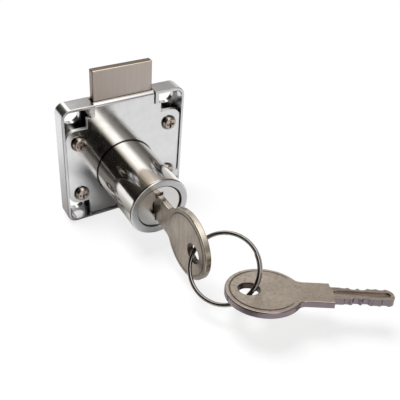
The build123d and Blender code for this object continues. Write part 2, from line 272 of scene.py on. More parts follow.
class LockSettings(bpy.types.PropertyGroup):
    case: bpy.props.PointerProperty(type=CaseSettings, name="Case", description="Finish of the case")
    cover: bpy.props.PointerProperty(type=CoverSettings, name="Cover", description="Finish of the cover")
    cylinder: bpy.props.PointerProperty(
        type=CylinderSettings, name="Cylinder", description="Finish of the cylinder and its insides"
    )
    bolt: bpy.props.PointerProperty(type=BoltSettings, name="Bolt", description="Finish of the bolt")
    keys: bpy.props.PointerProperty(type=KeySettings, name="Keys", description="Finish of the keys and ring")
    springs: bpy.props.PointerProperty(
        type=SpringSettings, name="Springs", description="Sizes of the wafer springs"
    )
    stage: bpy.props.PointerProperty(type=StageSettings, name="Stage", description="Floor, tent and lamp")


# Case and cover


class LOCK_OT_finish_case(bpy.types.Operator):
    """Gives the case its bright chrome plate"""

    bl_idname = "cabinet_lock.finish_case"
    bl_label = "Finish the Case"

    def execute(self, context):
        settings = context.scene.cabinet_lock.case
        # Bright chrome on die-cast zinc: reflections wobble over the casting's faint ripples, and
        # the plate is a little duller in patches.
        material, tree = start_material("bright_chromed_die_cast_zinc")
        place = add_node(tree, "ShaderNodeTexCoord")
        ripples = add_node(
            tree,
            "ShaderNodeTexNoise",
            inputs={"Vector": place.outputs["Object"], "Scale": per_metre(settings.ripple), "Detail": 2.0},
        )
        patches = add_node(
            tree,
            "ShaderNodeTexNoise",
            inputs={
                "Vector": place.outputs["Object"],
                "Scale": per_metre(4 * settings.ripple),
                "Detail": 3.0,
            },
        )
        dullness = add_node(
            tree,
            "ShaderNodeMapRange",
            inputs={
                "Value": patches.outputs["Fac"],
                "From Min": 0.35,
                "From Max": 0.7,
                "To Min": settings.roughness,
                "To Max": settings.roughness + 0.1,
            },
        )
        tone = add_node(
            tree,
            "ShaderNodeMix",
            {"data_type": "RGBA"},
            {
                0: patches.outputs["Fac"],
                6: rgba(settings.chrome),
                7: shade(settings.chrome, 0.86),
            },
        )
        bump = add_node(
            tree,
            "ShaderNodeBump",
            inputs={"Height": ripples.outputs["Fac"], "Strength": 0.25, "Distance": 0.05 * MM},
        )
        shader = add_node(
            tree,
            "ShaderNodeBsdfPrincipled",
            inputs={
                "Base Color": tone.outputs[2],
                "Metallic": 1.0,
                "Roughness": dullness.outputs["Result"],
                "Normal": bump.outputs["Normal"],
            },
        )
        end_material(tree, shader)
        finish_nodes(["case"], material)
        return {"FINISHED"}


class LOCK_OT_finish_cover(bpy.types.Operator):
    """Gives the cover plate its mirror-bright chrome"""

    bl_idname = "cabinet_lock.finish_cover"
    bl_label = "Finish the Cover"

    # Tone of the painted highlight on the edges
    edge_highlight_tone = "f6f4f0"
    # Tone of the painted shade near the corners
    painted_shade_tone = "2c2824"
    edge_roughness = 0.45

    def execute(self, context):
        settings = context.scene.cabinet_lock.cover
        # Mirror-bright chrome on stamped sheet: sharp reflections that bend over the sheet's slow
        # waves, with a thin haze of polishing marks, a painted highlight on the edges, and painted
        # shade where the sheet meets its neighbours.
        material, tree = start_material("mirror_chromed_sheet_steel")
        place = add_node(tree, "ShaderNodeTexCoord")
        waves = add_node(
            tree,
            "ShaderNodeTexNoise",
            inputs={"Vector": place.outputs["Object"], "Scale": per_metre(settings.waviness), "Detail": 1.0},
        )
        haze = add_node(
            tree,
            "ShaderNodeTexNoise",
            inputs={"Vector": place.outputs["Object"], "Scale": per_metre(2.2 * MM), "Detail": 4.0},
        )
        dullness = add_node(
            tree,
            "ShaderNodeMapRange",
            inputs={
                "Value": haze.outputs["Fac"],
                "From Min": 0.3,
                "From Max": 0.75,
                "To Min": 0.07,
                "To Max": 0.15,
            },
        )
        rounding = add_node(tree, "ShaderNodeBevel", {"samples": 6}, {"Radius": settings.edge_round})
        bump = add_node(
            tree,
            "ShaderNodeBump",
            inputs={
                "Height": waves.outputs["Fac"],
                "Strength": 0.5,
                "Distance": 0.08 * MM,
                "Normal": rounding.outputs["Normal"],
            },
        )
        # Painted highlight: the edges that the bevel rounds take a paler tone
        surface = add_node(tree, "ShaderNodeNewGeometry")
        agreement = add_node(
            tree,
            "ShaderNodeVectorMath",
            {"operation": "DOT_PRODUCT"},
            {0: rounding.outputs["Normal"], 1: surface.outputs["True Normal"]},
        )
        edge_highlight = add_node(
            tree,
            "ShaderNodeMapRange",
            inputs={"Value": agreement.outputs["Value"], "From Min": 0.985, "From Max": 0.85},
        )
        # Painted shade: ambient occlusion darkens the flat faces near the corners
        corners = add_node(tree, "ShaderNodeAmbientOcclusion", inputs={"Distance": settings.corner_shade_width})
        painted_shade = add_node(
            tree,
            "ShaderNodeMapRange",
            {"interpolation_type": "SMOOTHSTEP"},
            {"Value": corners.outputs["AO"], "From Min": 0.6, "From Max": 0.9, "To Min": 1.0, "To Max": 0.0},
        )
        smudged = add_node(
            tree,
            "ShaderNodeMix",
            {"data_type": "RGBA"},
            {
                0: haze.outputs["Fac"],
                6: shade(settings.chrome, 1.06),
                7: shade(settings.chrome, 0.9),
            },
        )
        facing = add_node(tree, "ShaderNodeSeparateXYZ", inputs={0: place.outputs["Normal"]})
        flatness = add_node(tree, "ShaderNodeMath", {"operation": "ABSOLUTE"}, {0: facing.outputs["Y"]})
        # Painted highlight: the sheet's sides take the same paler tone
        side_highlight = add_node(
            tree,
            "ShaderNodeMapRange",
            inputs={"Value": flatness.outputs[0], "From Min": 0.5, "From Max": 0.2},
        )
        edge = add_node(
            tree,
            "ShaderNodeMath",
            {"operation": "MAXIMUM"},
            {0: side_highlight.outputs["Result"], 1: edge_highlight.outputs["Result"]},
        )
        with_edge_highlight = add_node(
            tree,
            "ShaderNodeMix",
            {"data_type": "RGBA"},
            {0: edge.outputs[0], 6: smudged.outputs[2], 7: rgba_from_hex(self.edge_highlight_tone)},
        )
        edge_dullness = add_node(
            tree,
            "ShaderNodeMix",
            {"data_type": "FLOAT"},
            {0: edge.outputs[0], 2: dullness.outputs["Result"], 3: self.edge_roughness},
        )
        flat_painted_shade = add_node(
            tree,
            "ShaderNodeMath",
            {"operation": "MULTIPLY"},
            {0: painted_shade.outputs["Result"], 1: flatness.outputs[0]},
        )
        tone = add_node(
            tree,
            "ShaderNodeMix",
            {"data_type": "RGBA"},
            {0: flat_painted_shade.outputs[0], 6: with_edge_highlight.outputs[2], 7: rgba_from_hex(self.painted_shade_tone)},
        )
        shader = add_node(
            tree,
            "ShaderNodeBsdfPrincipled",
            inputs={
                "Base Color": tone.outputs[2],
                "Metallic": 1.0,
                "Roughness": edge_dullness.outputs[0],
                "Normal": bump.outputs["Normal"],
            },
        )
        end_material(tree, shader)
        finish_nodes(["cover_plate"], material)
        return {"FINISHED"}


class LOCK_OT_finish_screws(bpy.types.Operator):
    """Gives the four cover screws their nickel plate"""

    bl_idname = "cabinet_lock.finish_screws"
    bl_label = "Finish the Cover Screws"

    def execute(self, context):
        settings = context.scene.cabinet_lock.cover
        # Nickel on cold-headed screws: warm grey, glossy, with small dents from the hopper
        material, tree = start_material("nickel_plated_cold_headed_steel")
        place = add_node(tree, "ShaderNodeTexCoord")
        dents = add_node(
            tree,
            "ShaderNodeTexNoise",
            inputs={"Vector": place.outputs["Object"], "Scale": per_metre(0.8 * MM), "Detail": 3.0},
        )
        dullness = add_node(
            tree,
            "ShaderNodeMapRange",
            inputs={"Value": dents.outputs["Fac"], "To Min": 0.1, "To Max": 0.3},
        )
        bump = add_node(
            tree,
            "ShaderNodeBump",
            inputs={"Height": dents.outputs["Fac"], "Strength": 0.2, "Distance": 0.03 * MM},
        )
        shader = add_node(
            tree,
            "ShaderNodeBsdfPrincipled",
            inputs={
                "Base Color": rgba(settings.screw_nickel),
                "Metallic": 1.0,
                "Roughness": dullness.outputs["Result"],
                "Normal": bump.outputs["Normal"],
            },
        )
        end_material(tree, shader)
        finish_nodes(["cover_screws"], material)
        return {"FINISHED"}


# Cylinder


class LOCK_OT_finish_sleeve(bpy.types.Operator):
    """Gives the cylinder's sleeve its polish, and its front ring a blasted face"""

    bl_idname = "cabinet_lock.finish_sleeve"
    bl_label = "Finish the Sleeve"

    # Tone of the painted shade lines
    painted_shade_tone = "1f1c19"
    blasted_roughness = 0.22
    cover_face = 0.5 * MM
    seam_shade_fade = 0.1 * MM
    # The painted shade line behind the front edge, and how its dark fades out from its middle
    edge_shade_line = 0.3 * MM
    edge_shade_dark = 0.08 * MM
    edge_shade_end = 0.2 * MM
    # The painted shade line round the plug, fading outward from the lip
    lip_radius = 7.15 * MM
    plug_shade_dark = 0.12 * MM
    plug_shade_end = 0.32 * MM
    plug_shade_side = Vector((0.55, 0.0, 0.83))
    plug_shade_rise = 3.5 * MM

    def execute(self, context):
        settings = context.scene.cabinet_lock.cylinder
        sleeve_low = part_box("trim_sleeve")[0]
        # Polished nickel-chrome on a drawn tube: long soft streaks with fine lengthwise marks. Its
        # front ring is bead blasted, which scatters the light to an even grey. Painted shade makes a
        # dark line where the sleeve stands on the cover, behind its front edge and above the plug.
        material, tree = start_material("polished_nickel_chrome_on_drawn_tube")
        place = add_node(tree, "ShaderNodeTexCoord")
        lengthwise = add_node(
            tree,
            "ShaderNodeMapping",
            inputs={"Vector": place.outputs["Object"], "Scale": (1.0, 0.03, 1.0)},
        )
        marks = add_node(
            tree,
            "ShaderNodeTexNoise",
            inputs={
                "Vector": lengthwise.outputs["Vector"],
                "Scale": per_metre(settings.draw_mark),
                "Detail": 3.0,
            },
        )
        grit = add_node(
            tree,
            "ShaderNodeTexNoise",
            inputs={"Vector": place.outputs["Object"], "Scale": per_metre(0.25 * MM), "Detail": 2.0},
        )
        facing = add_node(tree, "ShaderNodeSeparateXYZ", inputs={0: place.outputs["Normal"]})
        blasted = add_node(
            tree,
            "ShaderNodeMapRange",
            {"interpolation_type": "SMOOTHSTEP"},
            {"Value": facing.outputs["Y"], "From Min": -0.9, "From Max": -0.995},
        )
        plated = add_node(
            tree,
            "ShaderNodeMix",
            {"data_type": "RGBA"},
            {0: blasted.outputs["Result"], 6: rgba(settings.sleeve), 7: rgba(settings.sleeve_front)},
        )
        along = add_node(tree, "ShaderNodeSeparateXYZ", inputs={0: place.outputs["Object"]})
        # Painted shade: a dark line where the sleeve stands on the cover
        seam_shade = add_node(
            tree,
            "ShaderNodeMapRange",
            inputs={
                "Value": along.outputs["Y"],
                "From Min": self.cover_face - settings.seam_shade_width - self.seam_shade_fade,
                "From Max": self.cover_face - settings.seam_shade_width,
            },
        )
        # Painted shade: a dark line behind the front edge
        past_edge = add_node(
            tree,
            "ShaderNodeMath",
            {"operation": "SUBTRACT"},
            {0: along.outputs["Y"], 1: sleeve_low.y + self.edge_shade_line},
        )
        from_edge = add_node(tree, "ShaderNodeMath", {"operation": "ABSOLUTE"}, {0: past_edge.outputs[0]})
        edge_shade_line = add_node(
            tree,
            "ShaderNodeMapRange",
            inputs={
                "Value": from_edge.outputs[0],
                "From Min": self.edge_shade_dark,
                "From Max": self.edge_shade_end,
                "To Min": 0.75,
                "To Max": 0.0,
            },
        )
        # Painted shade: a dark line round the plug, heavier toward the top right
        around = add_node(
            tree,
            "ShaderNodeMapping",
            inputs={"Vector": place.outputs["Object"], "Scale": (1.0, 0.0, 1.0)},
        )
        radius = add_node(tree, "ShaderNodeVectorMath", {"operation": "LENGTH"}, {0: around.outputs[0]})
        upper_right = add_node(
            tree,
            "ShaderNodeVectorMath",
            {"operation": "DOT_PRODUCT"},
            {0: around.outputs[0], 1: self.plug_shade_side},
        )
        above = add_node(
            tree,
            "ShaderNodeMapRange",
            inputs={
                "Value": upper_right.outputs["Value"],
                "From Min": 0.0,
                "From Max": self.plug_shade_rise,
            },
        )
        near_plug = add_node(
            tree,
            "ShaderNodeMapRange",
            inputs={
                "Value": radius.outputs["Value"],
                "From Min": self.lip_radius + self.plug_shade_dark,
                "From Max": self.lip_radius + self.plug_shade_end,
                "To Min": 0.92,
                "To Max": 0.0,
            },
        )
        plug_shade_line = add_node(
            tree,
            "ShaderNodeMath",
            {"operation": "MULTIPLY"},
            {0: near_plug.outputs["Result"], 1: above.outputs["Result"]},
        )
        shade_lines = add_node(
            tree,
            "ShaderNodeMath",
            {"operation": "MAXIMUM"},
            {0: edge_shade_line.outputs["Result"], 1: plug_shade_line.outputs[0]},
        )
        painted_shade = add_node(
            tree,
            "ShaderNodeMath",
            {"operation": "MAXIMUM"},
            {0: shade_lines.outputs[0], 1: seam_shade.outputs["Result"]},
        )
        tone = add_node(
            tree,
            "ShaderNodeMix",
            {"data_type": "RGBA"},
            {0: painted_shade.outputs[0], 6: plated.outputs[2], 7: rgba_from_hex(self.painted_shade_tone)},
        )
        polish = add_node(
            tree,
            "ShaderNodeMapRange",
            inputs={"Value": marks.outputs["Fac"], "To Min": 0.05, "To Max": 0.15},
        )
        dullness = add_node(
            tree,
            "ShaderNodeMix",
            {"data_type": "FLOAT"},
            {0: blasted.outputs["Result"], 2: polish.outputs["Result"], 3: self.blasted_roughness},
        )
        surface = add_node(
            tree,
            "ShaderNodeMix",
            {"data_type": "FLOAT"},
            {0: blasted.outputs["Result"], 2: marks.outputs["Fac"], 3: grit.outputs["Fac"]},
        )
        bump = add_node(
            tree,
            "ShaderNodeBump",
            inputs={"Height": surface.outputs[0], "Strength": 0.2, "Distance": 0.02 * MM},
        )
        shader = add_node(
            tree,
            "ShaderNodeBsdfPrincipled",
            inputs={
                "Base Color": tone.outputs[2],
                "Metallic": 1.0,
                "Roughness": dullness.outputs[0],
                "Normal": bump.outputs["Normal"],
            },
        )
        end_material(tree, shader)
        finish_nodes(["trim_sleeve"], material)
        return {"FINISHED"}


class LOCK_OT_finish_plug(bpy.types.Operator):
    """Gives the plug its satin plate"""

    bl_idname = "cabinet_lock.finish_plug"
    bl_label = "Finish the Plug"

    def execute(self, context):
        settings = context.scene.cabinet_lock.cylinder
        # Satin chrome on a turned zinc plug: a fine even grain that softens every reflection
        material, tree = start_material("satin_chromed_turned_zinc")
        place = add_node(tree, "ShaderNodeTexCoord")
        grain = add_node(
            tree,
            "ShaderNodeTexNoise",
            inputs={"Vector": place.outputs["Object"], "Scale": per_metre(0.3 * MM), "Detail": 3.0},
        )
        cloud = add_node(
            tree,
            "ShaderNodeTexNoise",
            inputs={"Vector": place.outputs["Object"], "Scale": per_metre(4.0 * MM), "Detail": 2.0},
        )
        dullness = add_node(
            tree,
            "ShaderNodeMapRange",
            inputs={"Value": cloud.outputs["Fac"], "To Min": 0.12, "To Max": 0.22},
        )
        bump = add_node(
            tree,
            "ShaderNodeBump",
            inputs={"Height": grain.outputs["Fac"], "Strength": 0.35, "Distance": 0.02 * MM},
        )
        mottled = add_node(
            tree,
            "ShaderNodeMix",
            {"data_type": "RGBA"},
            {
                0: grain.outputs["Fac"],
                6: shade(settings.plug, 1.12),
                7: shade(settings.plug, 0.84),
            },
        )
        shader = add_node(
            tree,
            "ShaderNodeBsdfPrincipled",
            inputs={
                "Base Color": mottled.outputs[2],
                "Metallic": 1.0,
                "Roughness": dullness.outputs["Result"],
                "Normal": bump.outputs["Normal"],
            },
        )
        end_material(tree, shader)
        finish_nodes(["plug"], material)
        return {"FINISHED"}


class LOCK_OT_finish_insides(bpy.types.Operator):
    """Gives the cylinder's housing, wafers and clip their finishes"""

    bl_idname = "cabinet_lock.finish_insides"
    bl_label = "Finish the Inside Pieces"

    zinc_tone = "a3a4a6"
    tarnished_zinc_tone = "7e7f82"
    zinc_roughness = 0.55
    brass_roughness = 0.36

    def execute(self, context):
        lock = context.scene.cabinet_lock
        self.finish_housing()
        self.finish_wafers(lock.cylinder)
        finish_nodes(["retaining_clip"], spring_steel(lock.springs))
        return {"FINISHED"}

    def finish_housing(self):
        # As-cast zinc: dull grey with the mould's fine grain and slow clouds of tarnish
        material, tree = start_material("as_cast_zinc")
        place = add_node(tree, "ShaderNodeTexCoord")
        grain = add_node(
            tree,
            "ShaderNodeTexNoise",
            inputs={"Vector": place.outputs["Object"], "Scale": per_metre(0.4 * MM), "Detail": 4.0},
        )
        tarnish_and_shade = add_node(
            tree,
            "ShaderNodeTexNoise",
            inputs={"Vector": place.outputs["Object"], "Scale": per_metre(5.0 * MM), "Detail": 3.0},
        )
        tone = add_node(
            tree,
            "ShaderNodeMix",
            {"data_type": "RGBA"},
            {
                0: tarnish_and_shade.outputs["Fac"],
                6: rgba_from_hex(self.zinc_tone),
                7: rgba_from_hex(self.tarnished_zinc_tone),
            },
        )
        bump = add_node(
            tree,
            "ShaderNodeBump",
            inputs={"Height": grain.outputs["Fac"], "Strength": 0.5, "Distance": 0.03 * MM},
        )
        shader = add_node(
            tree,
            "ShaderNodeBsdfPrincipled",
            inputs={
                "Base Color": tone.outputs[2],
                "Metallic": 1.0,
                "Roughness": self.zinc_roughness,
                "Normal": bump.outputs["Normal"],
            },
        )
        end_material(tree, shader)
        finish_nodes(["cylinder_housing"], material)

    def finish_wafers(self, settings):
        # Brass stamped from strip: yellow, with rolling marks across it and soft tarnish
        material, tree = start_material("stamped_strip_brass")
        place = add_node(tree, "ShaderNodeTexCoord")
        across = add_node(
            tree,
            "ShaderNodeMapping",
            inputs={"Vector": place.outputs["Object"], "Scale": (0.06, 1.0, 1.0)},
        )
        rolling = add_node(
            tree,
            "ShaderNodeTexNoise",
            inputs={"Vector": across.outputs["Vector"], "Scale": per_metre(0.15 * MM), "Detail": 2.0},
        )
        tarnish_and_shade = add_node(
            tree,
            "ShaderNodeTexNoise",
            inputs={"Vector": place.outputs["Object"], "Scale": per_metre(2.5 * MM), "Detail": 3.0},
        )
        tone = add_node(
            tree,
            "ShaderNodeMix",
            {"data_type": "RGBA"},
            {
                0: tarnish_and_shade.outputs["Fac"],
                6: rgba(settings.brass),
                7: shade(settings.brass, 0.6),
            },
        )
        bump = add_node(
            tree,
            "ShaderNodeBump",
            inputs={"Height": rolling.outputs["Fac"], "Strength": 0.25, "Distance": 0.02 * MM},
        )
        shader = add_node(
            tree,
            "ShaderNodeBsdfPrincipled",
            inputs={
                "Base Color": tone.outputs[2],
                "Metallic": 1.0,
                "Roughness": self.brass_roughness,
                "Normal": bump.outputs["Normal"],
            },
        )
        end_material(tree, shader)
        finish_nodes([f"wafer_{n}" for n in WAFER_NUMBERS], material)


def spring_steel(settings):
    """Hard-drawn spring steel: dark grey, glossy along the wire, with an oily film in patches."""
    name = "hard_drawn_spring_steel"
    if name in bpy.data.materials:
        return bpy.data.materials[name]
    material, tree = start_material(name)
    place = add_node(tree, "ShaderNodeTexCoord")
    film = add_node(
        tree,
        "ShaderNodeTexNoise",
        inputs={"Vector": place.outputs["Object"], "Scale": per_metre(1.2 * MM), "Detail": 3.0},
    )
    tone = add_node(
        tree,
        "ShaderNodeMix",
        {"data_type": "RGBA"},
        {0: film.outputs["Fac"], 6: rgba(settings.steel), 7: shade(settings.steel, 0.6)},
    )
    dullness = add_node(
        tree,
        "ShaderNodeMapRange",
        inputs={"Value": film.outputs["Fac"], "To Min": 0.22, "To Max": 0.42},
    )
    shader = add_node(
        tree,
        "ShaderNodeBsdfPrincipled",
        inputs={
            "Base Color": tone.outputs[2],
            "Metallic": 1.0,
            "Roughness": dullness.outputs["Result"],
        },
    )
    end_material(tree, shader)
    return material


class LOCK_OT_make_wafer_springs(bpy.types.Operator):
    """Winds the coil spring of each wafer in place of its plain tube"""

    bl_idname = "cabinet_lock.make_wafer_springs"
    bl_label = "Wind the Wafer Springs"

    wire_sides: bpy.props.IntProperty(
        name="Wire sides",
        description="Number of sides round the spring's wire",
        min=6,
        max=32,
        default=10,
    )
    steps_per_turn: bpy.props.IntProperty(
        name="Steps per turn",
        description="Number of steps in each turn of the spring",
        min=8,
        max=64,
        default=24,
    )

    def execute(self, context):
        settings = context.scene.cabinet_lock.springs
        steel = spring_steel(settings)
        for number in WAFER_NUMBERS:
            node = f"wafer_spring_{number}"
            spring = make_object(f"wafer_coil_{number}", self.wind(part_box(node), settings), steel)
            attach(spring, "plug")
            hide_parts(node)
        return {"FINISHED"}

    def wind(self, box, settings):
        low, high = box
        middle = (low + high) / 2
        wire_radius = settings.wire / 2
        coil_radius = (high.x - low.x) / 2 - wire_radius
        height = high.z - low.z - settings.wire
        steps = settings.turns * self.steps_per_turn
        shape = bmesh.new()
        ring = bmesh.ops.create_circle(
            shape, cap_ends=True, radius=wire_radius, segments=self.wire_sides
        )
        stand = Euler((math.pi / 2, 0.0, 0.0)).to_matrix().to_4x4()
        bmesh.ops.transform(
            shape,
            matrix=Matrix.Translation((coil_radius, 0.0, -height / 2)) @ stand,
            verts=ring["verts"],
        )
        bmesh.ops.spin(
            shape,
            geom=shape.verts[:] + shape.edges[:] + shape.faces[:],
            cent=(0.0, 0.0, 0.0),
            axis=(0.0, 0.0, 1.0),
            dvec=(0.0, 0.0, height / steps),
            angle=settings.turns * math.tau,
            steps=steps,
        )
        bmesh.ops.translate(shape, vec=middle, verts=shape.verts)
        bmesh.ops.recalc_face_normals(shape, faces=shape.faces)
        for face in shape.faces:
            face.smooth = True
        return shape


# Bolt, keys and ring


class LOCK_OT_finish_bolt(bpy.types.Operator):
    """Gives the bolt its brushed nickel"""

    bl_idname = "cabinet_lock.finish_bolt"
    bl_label = "Finish the Bolt"

    # Tone and fade of the painted highlight along the top front edge
    top_edge_highlight_tone = "e6dac9"
    edge_highlight_fade = 0.15 * MM

    def execute(self, context):
        settings = context.scene.cabinet_lock.bolt
        # Nickel over brushed zinc: warm satin grey with fine marks along the bolt. Its sides and
        # top carry painted shade, and its top front edge carries a painted highlight.
        material, tree = start_material("brushed_nickel_plated_zinc")
        place = add_node(tree, "ShaderNodeTexCoord")
        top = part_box("bolt")[1].z
        along = add_node(
            tree,
            "ShaderNodeMapping",
            inputs={"Vector": place.outputs["Object"], "Scale": (1.0, 1.0, 0.02)},
        )
        marks = add_node(
            tree,
            "ShaderNodeTexNoise",
            inputs={
                "Vector": along.outputs["Vector"],
                "Scale": per_metre(settings.brush_mark),
                "Detail": 3.0,
                "Roughness": 0.6,
            },
        )
        brushed = add_node(
            tree,
            "ShaderNodeMix",
            {"data_type": "RGBA"},
            {
                0: marks.outputs["Fac"],
                6: shade(settings.nickel, 1.08),
                7: shade(settings.nickel, 0.8),
            },
        )
        facing = add_node(tree, "ShaderNodeSeparateXYZ", inputs={0: place.outputs["Normal"]})
        # Painted shade: faces turned sideways or upward take the side colour
        sideways = add_node(tree, "ShaderNodeMath", {"operation": "ABSOLUTE"}, {0: facing.outputs["X"]})
        upward = add_node(
            tree,
            "ShaderNodeMath",
            {"operation": "MAXIMUM"},
            {0: sideways.outputs[0], 1: facing.outputs["Z"]},
        )
        side = add_node(
            tree,
            "ShaderNodeMapRange",
            inputs={"Value": upward.outputs[0], "From Min": 0.5, "From Max": 0.9},
        )
        side_shaded = add_node(
            tree,
            "ShaderNodeMix",
            {"data_type": "RGBA"},
            {0: side.outputs["Result"], 6: brushed.outputs[2], 7: rgba(settings.side)},
        )
        # Painted highlight along the top front edge
        height = add_node(tree, "ShaderNodeSeparateXYZ", inputs={0: place.outputs["Object"]})
        near_top = add_node(
            tree,
            "ShaderNodeMapRange",
            inputs={
                "Value": height.outputs["Z"],
                "From Min": top - settings.edge_highlight_width - self.edge_highlight_fade,
                "From Max": top - settings.edge_highlight_width,
            },
        )
        front = add_node(
            tree,
            "ShaderNodeMapRange",
            inputs={"Value": facing.outputs["Y"], "From Min": -0.3, "From Max": -0.6},
        )
        edge_highlight = add_node(
            tree,
            "ShaderNodeMath",
            {"operation": "MULTIPLY"},
            {0: near_top.outputs["Result"], 1: front.outputs["Result"]},
        )
        tone = add_node(
            tree,
            "ShaderNodeMix",
            {"data_type": "RGBA"},
            {0: edge_highlight.outputs[0], 6: side_shaded.outputs[2], 7: rgba_from_hex(self.top_edge_highlight_tone)},
        )
        dullness = add_node(
            tree,
            "ShaderNodeMapRange",
            inputs={"Value": marks.outputs["Fac"], "To Min": 0.28, "To Max": 0.46},
        )
        bump = add_node(
            tree,
            "ShaderNodeBump",
            inputs={"Height": marks.outputs["Fac"], "Strength": 0.3, "Distance": 0.03 * MM},
        )
        shader = add_node(
            tree,
            "ShaderNodeBsdfPrincipled",
            inputs={
                "Base Color": tone.outputs[2],
                "Metallic": 1.0,
                "Roughness": dullness.outputs["Result"],
                "Normal": bump.outputs["Normal"],
            },
        )
        end_material(tree, shader)
        finish_nodes(["bolt"], material)
        return {"FINISHED"}


